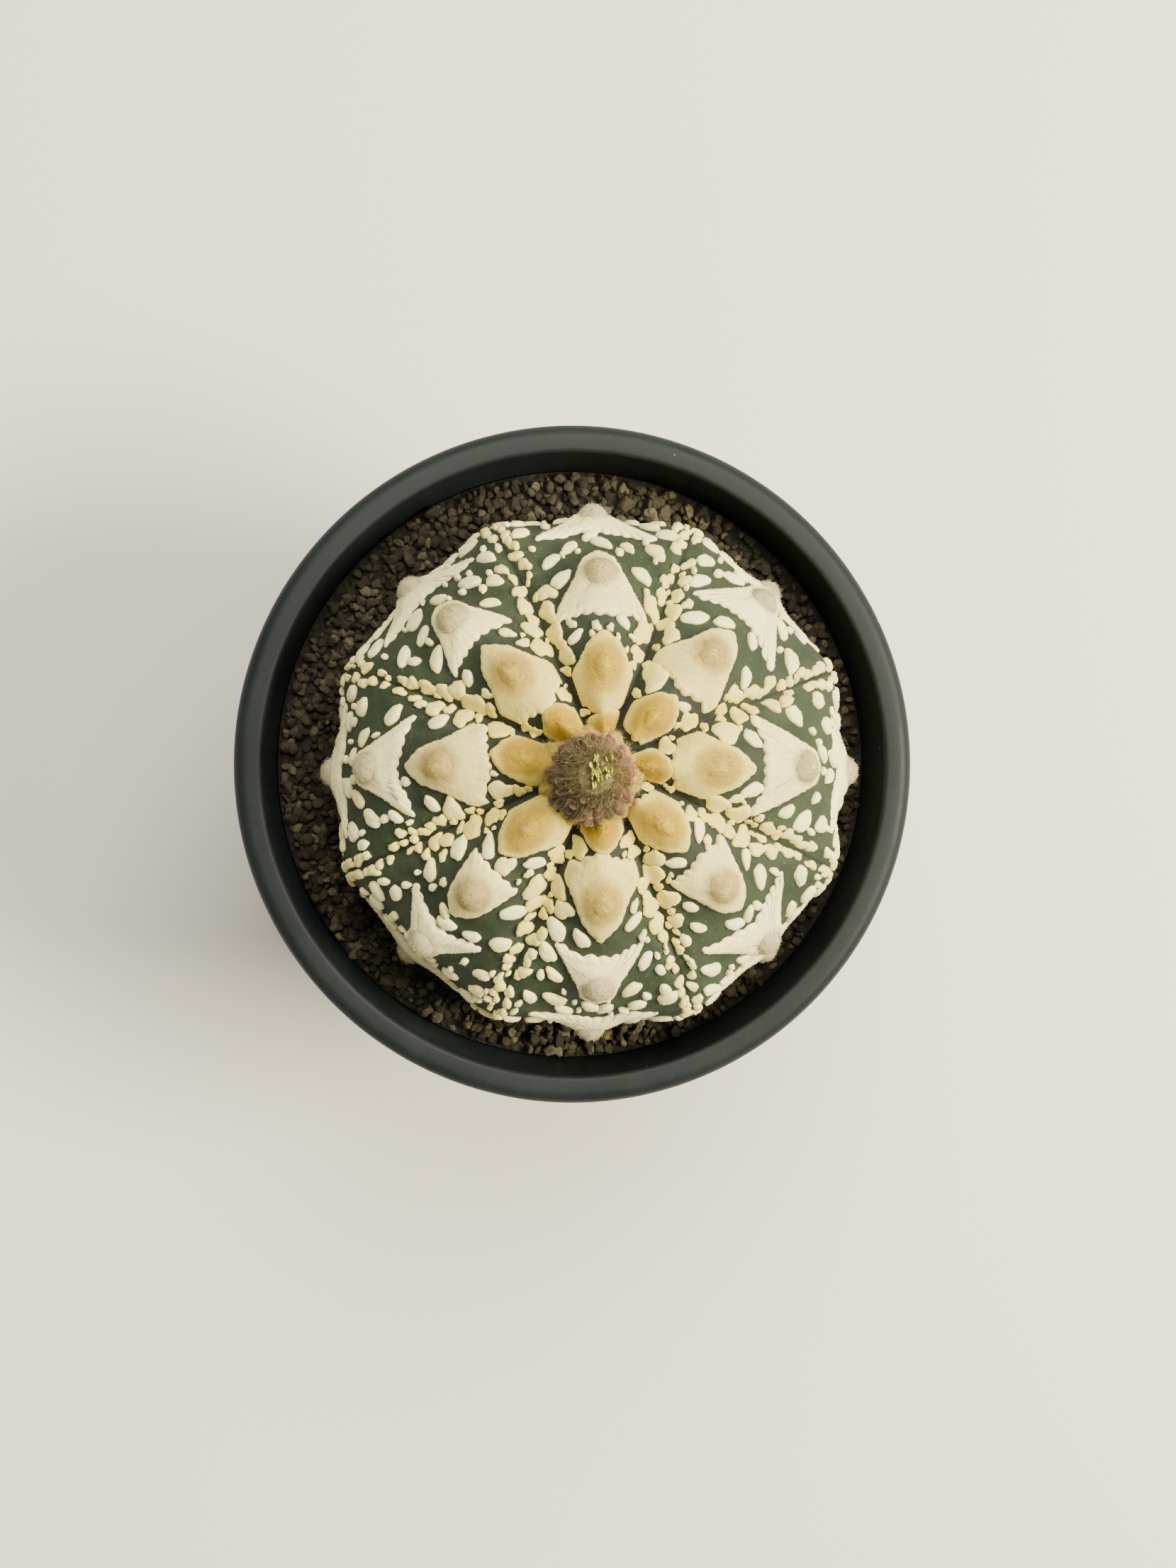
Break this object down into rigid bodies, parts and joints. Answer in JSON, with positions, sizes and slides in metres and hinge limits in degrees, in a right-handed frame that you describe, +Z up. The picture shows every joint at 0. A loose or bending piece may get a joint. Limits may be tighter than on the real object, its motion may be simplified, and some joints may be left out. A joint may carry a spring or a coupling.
{
  "type": "potted star cactus",
  "caption": "Low domed star cactus with white felt patches and flecks and a woolly flower bud, in gritty soil in a round plastic pot.",
  "frame": {"origin": "centre of the pot's foot, on the surface it stands on", "axes": "+Z up; +X to the right and +Y to the top of the reference view, which looks down on the plant"},
  "size_m": [0.11, 0.11, 0.1295],
  "materials": {
    "pot_plastic": "satin",
    "grit": "matte",
    "cactus_skin": "satin",
    "felt": "matte",
    "areole_wool": "matte",
    "bud_scale": "matte",
    "petal": "satin"
  },
  "bodies": {
    "root": {"pot": "pot_plastic", "soil": "grit", "cactus_body": "cactus_skin", "flower_bud": "bud_scale"}
  },
  "joints": []
}
